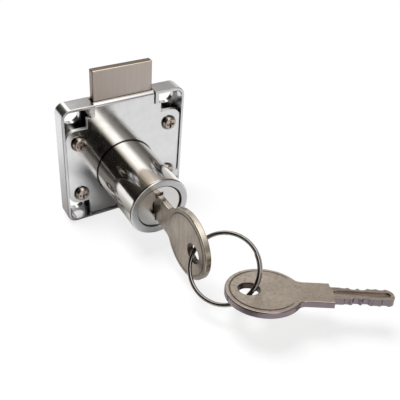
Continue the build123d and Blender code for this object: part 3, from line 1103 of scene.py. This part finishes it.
class LOCK_OT_finish_keys(bpy.types.Operator):
    """Gives both keys their tumbled nickel, with dirt in the line round the bow"""

    bl_idname = "cabinet_lock.finish_keys"
    bl_label = "Finish the Keys"

    bow_centres = {
        "key": Vector((0.0, -39.15 * MM, -0.83 * MM)),
        "spare_key": Vector((10.39 * MM, -60.89 * MM, -4.79 * MM)),
    }
    hole_centres = {
        "key": Vector((0.0, -43.05 * MM, -0.95 * MM)),
        "spare_key": Vector((7.08 * MM, -58.83 * MM, -4.85 * MM)),
    }
    # The line is rubbed clean on the side of the bow that these point to
    clean_sides = {
        "key": Vector((0.0, 0.75, -0.66)),
        "spare_key": Vector((0.986, -0.146, -0.074)),
    }
    # How the marks of the stamping run: long across the first key's neck, fine grain on the spare
    mark_shapes = {
        "key": (1.0, 1.0, 0.12),
        "spare_key": (1.0, 1.0, 1.0),
    }
    blade_directions = {
        "key": Vector((0.0, 1.0, 0.031)),
        "spare_key": Vector((0.8492, -0.5278, 0.0152)),
    }
    # Painted shade darkens the first key's bow toward its lower outer edge
    bow_shade_side = Vector((0.0, -0.71, -0.71))
    bow_shade_from = -5.0 * MM
    bow_shade_to = 9.0 * MM
    tarnish_and_shade = {"key": 0.7, "spare_key": 0.0}
    bow_shade_tone = "5f5143"
    pit_tone = "3a322b"
    line_dirt_tone = "2e2722"
    # Tone of the painted shade round the ring's hole
    hole_shade_tone = "3f352f"
    edge_roughness = 0.22
    # How much of the flats' blotches comes from the stamping's marks, the rest from slow clouds
    stamping_share = 0.6
    # Where the blade starts, out from the bow's centre
    blade_start = 17.9 * MM
    blade_fade = 1.0 * MM
    # The line round the bow, the dirt on each side of its middle, and how far the rubbing reaches
    line_radius = 9.1 * MM
    line_dirt_dark = 0.12 * MM
    line_dirt_end = 0.34 * MM
    clean_reach = 5.0 * MM
    # The painted shade round the ring's hole, outward from its edge
    hole_radius = 2.8 * MM
    hole_shade_dark = 0.25 * MM
    hole_shade_end = 0.55 * MM

    def execute(self, context):
        settings = context.scene.cabinet_lock.keys
        finish_nodes(["key"], self.tumbled_nickel("key", settings, settings.nickel, settings.edge_nickel))
        finish_nodes(
            ["spare_key"],
            self.tumbled_nickel("spare_key", settings, settings.spare_nickel, settings.spare_edge_shade),
        )
        return {"FINISHED"}

    def away_from(self, tree, place, centre):
        """The distance of each point of the surface from a point of the key."""
        offset = add_node(
            tree,
            "ShaderNodeVectorMath",
            {"operation": "SUBTRACT"},
            {0: place.outputs["Object"], 1: centre},
        )
        distance = add_node(tree, "ShaderNodeVectorMath", {"operation": "LENGTH"}, {0: offset.outputs[0]})
        return offset, distance

    def tumbled_nickel(self, node, settings, flat_tone, edge_tone):
        # Nickel on stamped and tumbled keys: warm satin grey flats with scuffs, small pits and, on
        # the blade, the cutter's marks, and edges polished by the tumbling. Dirt lies in the line
        # round the bow. Painted shade lies round its hole, on the spare key's edges, and toward the
        # lower outer edge of the first key's bow.
        material, tree = start_material(f"tumbled_nickel_on_{node}")
        place = add_node(tree, "ShaderNodeTexCoord")
        scuffs = add_node(
            tree,
            "ShaderNodeTexNoise",
            inputs={
                "Vector": place.outputs["Object"],
                "Scale": per_metre(settings.scuff),
                "Detail": 5.0,
                "Roughness": 0.65,
            },
        )
        clouds = add_node(
            tree,
            "ShaderNodeTexNoise",
            inputs={
                "Vector": place.outputs["Object"],
                "Scale": per_metre(5 * settings.scuff),
                "Detail": 3.0,
            },
        )
        facing = add_node(
            tree,
            "ShaderNodeVectorMath",
            {"operation": "DOT_PRODUCT"},
            {0: place.outputs["Normal"], 1: flat_side(node)},
        )
        either_side = add_node(
            tree, "ShaderNodeMath", {"operation": "ABSOLUTE"}, {0: facing.outputs["Value"]}
        )
        flatness = add_node(
            tree,
            "ShaderNodeMapRange",
            {"interpolation_type": "SMOOTHSTEP"},
            {"Value": either_side.outputs[0], "From Min": 0.75, "From Max": 0.99},
        )
        stamped = add_node(
            tree,
            "ShaderNodeMapping",
            inputs={"Vector": place.outputs["Object"], "Scale": self.mark_shapes[node]},
        )
        marks = add_node(
            tree,
            "ShaderNodeTexNoise",
            inputs={"Vector": stamped.outputs["Vector"], "Scale": per_metre(settings.scuff), "Detail": 4.0},
        )
        blotches = add_node(
            tree,
            "ShaderNodeMix",
            {"data_type": "FLOAT"},
            {0: self.stamping_share, 2: clouds.outputs["Fac"], 3: marks.outputs["Fac"]},
        )
        contrast = add_node(
            tree,
            "ShaderNodeMapRange",
            inputs={"Value": blotches.outputs[0], "From Min": 0.35, "From Max": 0.65},
        )
        cloudy = add_node(
            tree,
            "ShaderNodeMix",
            {"data_type": "RGBA"},
            {
                0: contrast.outputs["Result"],
                6: shade(flat_tone, 1.15),
                7: shade(flat_tone, 0.78),
            },
        )
        pits = add_node(
            tree,
            "ShaderNodeMapRange",
            inputs={"Value": scuffs.outputs["Fac"], "From Min": 0.6, "From Max": 0.75, "To Max": 0.5},
        )
        bow_offset, from_bow = self.away_from(tree, place, self.bow_centres[node])
        direction = self.blade_directions[node]
        milling = add_node(
            tree,
            "ShaderNodeMapping",
            {"vector_type": "TEXTURE"},
            {
                "Vector": place.outputs["Object"],
                "Rotation": Vector((0.0, 0.0, math.atan2(direction.y, direction.x))),
                "Scale": (25.0, 1.0, 1.0),
            },
        )
        mill_marks = add_node(
            tree,
            "ShaderNodeTexNoise",
            inputs={
                "Vector": milling.outputs["Vector"],
                "Scale": per_metre(settings.mill_mark),
                "Detail": 2.0,
            },
        )
        along = add_node(
            tree,
            "ShaderNodeVectorMath",
            {"operation": "DOT_PRODUCT"},
            {0: bow_offset.outputs[0], 1: direction},
        )
        on_blade = add_node(
            tree,
            "ShaderNodeMapRange",
            inputs={
                "Value": along.outputs["Value"],
                "From Min": self.blade_start,
                "From Max": self.blade_start + self.blade_fade,
            },
        )
        deep = add_node(
            tree,
            "ShaderNodeMapRange",
            inputs={"Value": mill_marks.outputs["Fac"], "From Min": 0.5, "From Max": 0.62, "To Max": 0.35},
        )
        milled = add_node(
            tree,
            "ShaderNodeMath",
            {"operation": "MULTIPLY"},
            {0: on_blade.outputs["Result"], 1: deep.outputs["Result"]},
        )
        dark_marks = add_node(
            tree,
            "ShaderNodeMath",
            {"operation": "MAXIMUM"},
            {0: pits.outputs["Result"], 1: milled.outputs[0]},
        )
        worn = add_node(
            tree,
            "ShaderNodeMix",
            {"data_type": "RGBA"},
            {0: dark_marks.outputs[0], 6: cloudy.outputs[2], 7: rgba_from_hex(self.pit_tone)},
        )
        off_line = add_node(
            tree,
            "ShaderNodeMath",
            {"operation": "SUBTRACT"},
            {0: from_bow.outputs["Value"], 1: self.line_radius},
        )
        from_line = add_node(tree, "ShaderNodeMath", {"operation": "ABSOLUTE"}, {0: off_line.outputs[0]})
        line = add_node(
            tree,
            "ShaderNodeMapRange",
            inputs={
                "Value": from_line.outputs[0],
                "From Min": self.line_dirt_dark,
                "From Max": self.line_dirt_end,
                "To Min": 0.7,
                "To Max": 0.0,
            },
        )
        toward_clean = add_node(
            tree,
            "ShaderNodeVectorMath",
            {"operation": "DOT_PRODUCT"},
            {0: bow_offset.outputs[0], 1: self.clean_sides[node]},
        )
        kept = add_node(
            tree,
            "ShaderNodeMapRange",
            inputs={
                "Value": toward_clean.outputs["Value"],
                "From Min": 0.0,
                "From Max": self.clean_reach,
                "To Min": 1.0,
                "To Max": 0.1,
            },
        )
        dirty_line = add_node(
            tree,
            "ShaderNodeMath",
            {"operation": "MULTIPLY"},
            {0: line.outputs["Result"], 1: kept.outputs["Result"]},
        )
        lined = add_node(
            tree,
            "ShaderNodeMix",
            {"data_type": "RGBA"},
            {0: dirty_line.outputs[0], 6: worn.outputs[2], 7: rgba_from_hex(self.line_dirt_tone)},
        )
        # The edge tone: polished plate on the first key, painted shade on the spare
        specked = add_node(
            tree,
            "ShaderNodeMix",
            {"data_type": "RGBA"},
            {0: pits.outputs["Result"], 6: rgba(edge_tone), 7: shade(edge_tone, 1.9)},
        )
        plated = add_node(
            tree,
            "ShaderNodeMix",
            {"data_type": "RGBA"},
            {0: flatness.outputs["Result"], 6: specked.outputs[2], 7: lined.outputs[2]},
        )
        # Painted shade on the first key's bow, toward its lower outer edge
        toward_bow_shade = add_node(
            tree,
            "ShaderNodeVectorMath",
            {"operation": "DOT_PRODUCT"},
            {0: bow_offset.outputs[0], 1: self.bow_shade_side},
        )
        bow_shade = add_node(
            tree,
            "ShaderNodeMapRange",
            inputs={
                "Value": toward_bow_shade.outputs["Value"],
                "From Min": self.bow_shade_from,
                "From Max": self.bow_shade_to,
                "To Max": self.tarnish_and_shade[node],
            },
        )
        bow_shaded = add_node(
            tree,
            "ShaderNodeMix",
            {"data_type": "RGBA"},
            {0: bow_shade.outputs["Result"], 6: plated.outputs[2], 7: rgba_from_hex(self.bow_shade_tone)},
        )
        # Painted shade round the ring's hole
        _, from_hole = self.away_from(tree, place, self.hole_centres[node])
        hole_shade = add_node(
            tree,
            "ShaderNodeMapRange",
            inputs={
                "Value": from_hole.outputs["Value"],
                "From Min": self.hole_radius + self.hole_shade_dark,
                "From Max": self.hole_radius + self.hole_shade_end,
                "To Min": 0.9,
                "To Max": 0.0,
            },
        )
        tone = add_node(
            tree,
            "ShaderNodeMix",
            {"data_type": "RGBA"},
            {0: hole_shade.outputs["Result"], 6: bow_shaded.outputs[2], 7: rgba_from_hex(self.hole_shade_tone)},
        )
        satin = add_node(
            tree,
            "ShaderNodeMapRange",
            inputs={
                "Value": scuffs.outputs["Fac"],
                "From Min": 0.3,
                "From Max": 0.7,
                "To Min": settings.satin,
                "To Max": settings.satin + 0.14,
            },
        )
        dullness = add_node(
            tree,
            "ShaderNodeMix",
            {"data_type": "FLOAT"},
            {0: flatness.outputs["Result"], 2: self.edge_roughness, 3: satin.outputs["Result"]},
        )
        bump = add_node(
            tree,
            "ShaderNodeBump",
            inputs={"Height": scuffs.outputs["Fac"], "Strength": 0.25, "Distance": 0.04 * MM},
        )
        shader = add_node(
            tree,
            "ShaderNodeBsdfPrincipled",
            inputs={
                "Base Color": tone.outputs[2],
                "Metallic": 1.0,
                "Roughness": dullness.outputs[0],
                "Normal": bump.outputs["Normal"],
            },
        )
        end_material(tree, shader)
        return material


def flat_side(node):
    """The direction that a key's flat sides face, taken from its largest face."""
    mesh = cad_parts[node].data
    largest = max(mesh.polygons, key=lambda face: face.area)
    return largest.normal.copy()


class LOCK_OT_finish_ring(bpy.types.Operator):
    """Gives the key ring its bright drawn wire"""

    bl_idname = "cabinet_lock.finish_ring"
    bl_label = "Finish the Key Ring"

    def execute(self, context):
        settings = context.scene.cabinet_lock.keys
        # Drawn steel wire, nickel flashed: tight highlights along it, with rubbed dull spots
        material, tree = start_material("bright_drawn_steel_wire")
        place = add_node(tree, "ShaderNodeTexCoord")
        rubs = add_node(
            tree,
            "ShaderNodeTexNoise",
            inputs={"Vector": place.outputs["Object"], "Scale": per_metre(1.5 * MM), "Detail": 4.0},
        )
        tone = add_node(
            tree,
            "ShaderNodeMix",
            {"data_type": "RGBA"},
            {
                0: rubs.outputs["Fac"],
                6: rgba(settings.ring_steel),
                7: shade(settings.ring_steel, 0.75),
            },
        )
        dullness = add_node(
            tree,
            "ShaderNodeMapRange",
            inputs={"Value": rubs.outputs["Fac"], "To Min": 0.1, "To Max": 0.26},
        )
        shader = add_node(
            tree,
            "ShaderNodeBsdfPrincipled",
            inputs={
                "Base Color": tone.outputs[2],
                "Metallic": 1.0,
                "Roughness": dullness.outputs["Result"],
            },
        )
        end_material(tree, shader)
        finish_nodes(["key_ring"], material)
        return {"FINISHED"}


# Stage


class LOCK_OT_set_stage(bpy.types.Operator):
    """Lays the floor and the painted-shade card, puts up the light tent and lamp, and sets the camera"""

    bl_idname = "cabinet_lock.set_stage"
    bl_label = "Set the Stage"

    camera_place = Vector((-67.8 * MM, -140.64 * MM, 109.03 * MM))
    camera_turn = [math.radians(angle) for angle in (52.142, -4.247, -31.39)]
    camera_lens = 53.61
    sensor_width = 36.0
    nearest_seen = 10 * MM
    farthest_seen = 10.0
    lamp_place = Vector((-0.2, 0.3, 1.2))
    lamp_width = 0.55
    lamp_length = 0.55
    lamp_power = 20.0

    # What the metal sees overhead, as angles from straight up: negative to the left, positive to
    # the right. One long soft light runs overhead, and the walls beside it are dark and warm.
    tent_tones = [
        (-90, "37322f", 1.0),
        (-77, "1f1d1b", 1.0),
        (-61, "302c28", 1.0),
        (-45, "433f39", 1.0),
        (-28, "504d3f", 1.0),
        (-14, "857e6c", 1.0),
        (-7, "fff9ee", 1.2),
        (0, "fffcf6", 2.2),
        (13, "ffffff", 2.4),
        (21, "fffdfa", 1.4),
        (27, "cfcbc6", 1.0),
        (33, "bab5b0", 1.0),
        (40, "a8a39d", 1.0),
        (48, "8a847e", 1.0),
        (56, "77716b", 1.0),
        (66, "9f9a95", 1.0),
        (76, "bcb7b2", 1.0),
        (90, "cfcbc7", 1.0),
    ]
    # Toward the front the light is this many times as wide, between these places along Y
    front_spread = 1.35
    spread_start = 0.1
    spread_end = -0.3
    # The white gap in the wall behind on the right, along Y and as angles
    gap_start = 0.5
    gap_end = 0.66
    gap_angles = (43, 52)
    # The darker wall in front on the left: its tone, and where it is along Y and as angles
    dark_wall_tone = "1e1b17"
    dark_wall_end = -0.3
    dark_wall_angles = (-12, -24)
    tent_segments = 96
    tent_front = -1.5
    tent_back = 1.5
    # The painted-shade card, where it darkens away from the lock, and the line its far part is cut on
    card_corners = (Vector((-0.45, -0.45, 0.0)), Vector((-0.019, 0.045, 0.0)))
    card_above_floor = 0.2 * MM
    card_dark_start = 55.0 * MM
    card_dark_end = 100.0 * MM
    card_cut = Vector((-0.574, 0.819, 0.0))
    cut_start = -8.0 * MM
    cut_end = 4.0 * MM
    # How bright the white surroundings are for rays that neither the camera nor metal sends
    fill_light = 0.13

    def execute(self, context):
        scene = context.scene
        settings = scene.cabinet_lock.stage
        self.lay_floor(settings)
        self.put_up_tent(settings)
        self.lay_shade_card(settings)
        self.hang_lamp(scene)
        self.light_world(scene)
        self.set_camera(scene)
        scene.view_settings.view_transform = "Standard"
        return {"FINISHED"}

    def lay_floor(self, settings):
        shape = bmesh.new()
        bmesh.ops.create_grid(shape, x_segments=1, y_segments=1, size=settings.floor_size / 2)
        bmesh.ops.translate(shape, vec=(0.0, 0.0, cad_box[0].z), verts=shape.verts)
        # Matt white card: the camera sees it as plain white, with a light share of the shadow near
        # the lock.
        material, tree = start_material("matt_white_card")
        matt = add_node(tree, "ShaderNodeBsdfDiffuse", inputs={"Color": rgba(settings.floor_colour)})
        white = add_node(tree, "ShaderNodeEmission", inputs={"Color": (1.0, 1.0, 1.0, 1.0), "Strength": 1.0})
        rays = add_node(tree, "ShaderNodeLightPath")
        place = add_node(tree, "ShaderNodeTexCoord")
        away = add_node(tree, "ShaderNodeVectorMath", {"operation": "LENGTH"}, {0: place.outputs["Object"]})
        whiteness = add_node(
            tree,
            "ShaderNodeMapRange",
            {"interpolation_type": "SMOOTHSTEP"},
            {
                "Value": away.outputs["Value"],
                "From Min": settings.shadow_reach / 2,
                "From Max": settings.shadow_reach,
                "To Min": 1.0 - settings.shadow_depth,
                "To Max": 1.0,
            },
        )
        lit = add_node(
            tree,
            "ShaderNodeMath",
            {"operation": "MULTIPLY"},
            {0: rays.outputs["Is Camera Ray"], 1: whiteness.outputs["Result"]},
        )
        seen = add_node(
            tree,
            "ShaderNodeMixShader",
            inputs={0: lit.outputs[0], 1: matt.outputs[0], 2: white.outputs[0]},
        )
        end_material(tree, seen)
        floor = make_object("floor", shape, material)

    def show_in_reflections_only(self, piece):
        piece.visible_camera = False
        piece.visible_diffuse = False
        piece.visible_transmission = False
        piece.visible_shadow = False

    def put_up_tent(self, settings):
        shape = bmesh.new()
        rim = bmesh.ops.create_circle(shape, radius=settings.tent_radius, segments=self.tent_segments)
        stand = Euler((math.pi / 2, 0.0, 0.0)).to_matrix().to_4x4()
        far_end = Matrix.Translation((0.0, self.tent_back, 0.0))
        bmesh.ops.transform(shape, matrix=far_end @ stand, verts=rim["verts"])
        wall = bmesh.ops.extrude_edge_only(shape, edges=shape.edges[:])
        moved = [part for part in wall["geom"] if isinstance(part, bmesh.types.BMVert)]
        bmesh.ops.translate(shape, vec=(0.0, self.tent_front - self.tent_back, 0.0), verts=moved)
        bmesh.ops.bisect_plane(
            shape,
            geom=shape.verts[:] + shape.edges[:] + shape.faces[:],
            plane_co=(0.0, 0.0, 0.0),
            plane_no=(0.0, 0.0, 1.0),
            clear_inner=True,
        )
        # Light tent cloth with a strip light along the top: bright overhead, warm and dark beside
        material, tree = start_material("light_tent_cloth")
        place = add_node(tree, "ShaderNodeTexCoord")
        axes = add_node(tree, "ShaderNodeSeparateXYZ", inputs={0: place.outputs["Object"]})
        angle = add_node(
            tree,
            "ShaderNodeMath",
            {"operation": "ARCTAN2"},
            {0: axes.outputs["X"], 1: axes.outputs["Z"]},
        )
        spread = add_node(
            tree,
            "ShaderNodeMapRange",
            {"interpolation_type": "SMOOTHSTEP"},
            {
                "Value": axes.outputs["Y"],
                "From Min": self.spread_start,
                "From Max": self.spread_end,
                "To Min": 1.0,
                "To Max": 1.0 / self.front_spread,
            },
        )
        narrowed = add_node(
            tree,
            "ShaderNodeMath",
            {"operation": "MULTIPLY"},
            {0: angle.outputs[0], 1: spread.outputs["Result"]},
        )
        share = add_node(
            tree,
            "ShaderNodeMapRange",
            inputs={
                "Value": narrowed.outputs[0],
                "From Min": -math.pi / 2,
                "From Max": math.pi / 2,
            },
        )
        tones = add_node(tree, "ShaderNodeValToRGB", inputs={0: share.outputs["Result"]})
        stops = tones.color_ramp.elements
        while len(stops) < len(self.tent_tones):
            stops.new(0.5)
        for stop, (degrees, tone, strength) in zip(stops, self.tent_tones):
            stop.position = (degrees + 90) / 180
            stop.color = rgba([strength * c for c in linear_from_hex(tone)])
        # A white gap behind on the right, past the end of the dark wall
        behind = add_node(
            tree,
            "ShaderNodeMapRange",
            {"interpolation_type": "SMOOTHSTEP"},
            {"Value": axes.outputs["Y"], "From Min": self.gap_start, "From Max": self.gap_end},
        )
        low_right = add_node(
            tree,
            "ShaderNodeMapRange",
            {"interpolation_type": "SMOOTHSTEP"},
            {
                "Value": angle.outputs[0],
                "From Min": math.radians(self.gap_angles[0]),
                "From Max": math.radians(self.gap_angles[1]),
            },
        )
        gap = add_node(
            tree,
            "ShaderNodeMath",
            {"operation": "MULTIPLY"},
            {0: behind.outputs["Result"], 1: low_right.outputs["Result"]},
        )
        colours = add_node(
            tree,
            "ShaderNodeMix",
            {"data_type": "RGBA"},
            {0: gap.outputs[0], 6: tones.outputs["Color"], 7: (1.0, 1.0, 1.0, 1.0)},
        )
        # The wall in front on the left is darker still
        in_front = add_node(
            tree,
            "ShaderNodeMapRange",
            {"interpolation_type": "SMOOTHSTEP"},
            {"Value": axes.outputs["Y"], "From Min": 0.0, "From Max": self.dark_wall_end},
        )
        on_left = add_node(
            tree,
            "ShaderNodeMapRange",
            {"interpolation_type": "SMOOTHSTEP"},
            {
                "Value": angle.outputs[0],
                "From Min": math.radians(self.dark_wall_angles[0]),
                "From Max": math.radians(self.dark_wall_angles[1]),
            },
        )
        front_left = add_node(
            tree,
            "ShaderNodeMath",
            {"operation": "MULTIPLY"},
            {0: in_front.outputs["Result"], 1: on_left.outputs["Result"]},
        )
        walls = add_node(
            tree,
            "ShaderNodeMix",
            {"data_type": "RGBA"},
            {0: front_left.outputs[0], 6: colours.outputs[2], 7: rgba_from_hex(self.dark_wall_tone)},
        )
        glow = add_node(tree, "ShaderNodeEmission", inputs={"Color": walls.outputs[2], "Strength": 1.0})
        end_material(tree, glow)
        tent = make_object("light_tent", shape, material)
        self.show_in_reflections_only(tent)

    def lay_shade_card(self, settings):
        """A grey card beside the cylinder, painted floor shade that only the metal's reflections show."""
        low, high = self.card_corners
        shape = bmesh.new()
        bmesh.ops.create_grid(shape, x_segments=1, y_segments=1, size=0.5)
        bmesh.ops.scale(shape, vec=(high.x - low.x, high.y - low.y, 1.0), verts=shape.verts)
        middle = (low + high) / 2
        middle.z = cad_box[0].z + self.card_above_floor
        bmesh.ops.translate(shape, vec=middle, verts=shape.verts)
        # Painted floor shade: a matt grey card, grey beside the cylinder, dark grey far in front on the
        # left, and fading to white behind, so the sleeve's side and the case's wall darken toward the floor
        material, tree = start_material("matt_grey_card")
        place = add_node(tree, "ShaderNodeTexCoord")
        away = add_node(tree, "ShaderNodeVectorMath", {"operation": "LENGTH"}, {0: place.outputs["Object"]})
        far = add_node(
            tree,
            "ShaderNodeMapRange",
            {"interpolation_type": "SMOOTHSTEP"},
            {
                "Value": away.outputs["Value"],
                "From Min": self.card_dark_start,
                "From Max": self.card_dark_end,
            },
        )
        darker = add_node(
            tree,
            "ShaderNodeMix",
            {"data_type": "RGBA"},
            {0: far.outputs["Result"], 6: rgba(settings.shade_card_grey), 7: rgba(settings.shade_card_far)},
        )
        axes = add_node(tree, "ShaderNodeSeparateXYZ", inputs={0: place.outputs["Object"]})
        behind = add_node(
            tree,
            "ShaderNodeMapRange",
            inputs={"Value": axes.outputs["Y"], "From Min": 0.0, "From Max": high.y},
        )
        # The card's far part is cut along a line, which leaves the floor to its left white
        past_cut = add_node(
            tree,
            "ShaderNodeVectorMath",
            {"operation": "DOT_PRODUCT"},
            {0: place.outputs["Object"], 1: self.card_cut},
        )
        cut = add_node(
            tree,
            "ShaderNodeMapRange",
            {"interpolation_type": "SMOOTHSTEP"},
            {"Value": past_cut.outputs["Value"], "From Min": self.cut_start, "From Max": self.cut_end},
        )
        off_card = add_node(
            tree,
            "ShaderNodeMath",
            {"operation": "MULTIPLY"},
            {0: cut.outputs["Result"], 1: far.outputs["Result"]},
        )
        white_share = add_node(
            tree,
            "ShaderNodeMath",
            {"operation": "MAXIMUM"},
            {0: behind.outputs["Result"], 1: off_card.outputs[0]},
        )
        faded = add_node(
            tree,
            "ShaderNodeMix",
            {"data_type": "RGBA"},
            {0: white_share.outputs[0], 6: darker.outputs[2], 7: rgba(settings.floor_colour)},
        )
        matt = add_node(tree, "ShaderNodeBsdfDiffuse", inputs={"Color": faded.outputs[2]})
        end_material(tree, matt)
        card = make_object("shade_card", shape, material)
        self.show_in_reflections_only(card)

    def hang_lamp(self, scene):
        lamp = bpy.data.lights.new("overhead_softbox", "AREA")
        lamp.shape = "RECTANGLE"
        lamp.size = self.lamp_width
        lamp.size_y = self.lamp_length
        lamp.energy = self.lamp_power
        hung = bpy.data.objects.new("overhead_softbox", lamp)
        hung.location = self.lamp_place
        hung.visible_glossy = False
        scene.collection.objects.link(hung)

    def light_world(self, scene):
        world = bpy.data.worlds.new("white_studio")
        world.use_nodes = True
        tree = world.node_tree
        tree.nodes.clear()
        rays = add_node(tree, "ShaderNodeLightPath")
        seen_or_mirrored = add_node(
            tree,
            "ShaderNodeMath",
            {"operation": "MAXIMUM"},
            {0: rays.outputs["Is Camera Ray"], 1: rays.outputs["Is Glossy Ray"]},
        )
        white_rays = add_node(
            tree,
            "ShaderNodeMath",
            {"operation": "MAXIMUM"},
            {0: seen_or_mirrored.outputs[0], 1: rays.outputs["Is Transmission Ray"]},
        )
        strength = add_node(
            tree,
            "ShaderNodeMix",
            {"data_type": "FLOAT"},
            {0: white_rays.outputs[0], 2: self.fill_light, 3: 1.0},
        )
        background = add_node(
            tree,
            "ShaderNodeBackground",
            inputs={"Color": (1.0, 1.0, 1.0, 1.0), "Strength": strength.outputs[0]},
        )
        add_node(tree, "ShaderNodeOutputWorld", inputs={"Surface": background.outputs[0]})
        scene.world = world

    def set_camera(self, scene):
        camera = bpy.data.cameras.new("camera")
        camera.lens = self.camera_lens
        camera.sensor_width = self.sensor_width
        camera.clip_start = self.nearest_seen
        camera.clip_end = self.farthest_seen
        stand = bpy.data.objects.new("camera", camera)
        stand.location = self.camera_place
        stand.rotation_euler = Euler(self.camera_turn, "XYZ")
        scene.collection.objects.link(stand)
        scene.camera = stand


# Panel and registration


STEPS = [
    LOCK_OT_set_stage,
    LOCK_OT_finish_case,
    LOCK_OT_finish_cover,
    LOCK_OT_finish_screws,
    LOCK_OT_finish_sleeve,
    LOCK_OT_finish_plug,
    LOCK_OT_finish_insides,
    LOCK_OT_make_wafer_springs,
    LOCK_OT_finish_bolt,
    LOCK_OT_finish_keys,
    LOCK_OT_finish_ring,
]


class LOCK_PT_panel(bpy.types.Panel):
    """Lists the lock's finishes and its stage"""

    bl_idname = "LOCK_PT_panel"
    bl_label = "Cabinet Lock"
    bl_space_type = "VIEW_3D"
    bl_region_type = "UI"
    bl_category = "Cabinet Lock"

    def draw(self, context):
        lock = context.scene.cabinet_lock
        for step in STEPS:
            self.layout.operator(step.bl_idname)
        for group in ("case", "cover", "cylinder", "bolt", "keys", "springs", "stage"):
            settings = getattr(lock, group)
            box = self.layout.box()
            box.label(text=group.capitalize())
            for name in settings.__annotations__:
                box.prop(settings, name)


CLASSES = [
    CaseSettings,
    CoverSettings,
    CylinderSettings,
    BoltSettings,
    KeySettings,
    SpringSettings,
    StageSettings,
    LockSettings,
    *STEPS,
    LOCK_PT_panel,
]


def register():
    for part in CLASSES:
        bpy.utils.register_class(part)
    bpy.types.Scene.cabinet_lock = bpy.props.PointerProperty(type=LockSettings)


def unregister():
    del bpy.types.Scene.cabinet_lock
    for part in reversed(CLASSES):
        bpy.utils.unregister_class(part)


def main():
    register()
    for step in STEPS:
        group, name = step.bl_idname.split(".")
        getattr(getattr(bpy.ops, group), name)()


if __name__ == "__main__":
    main()
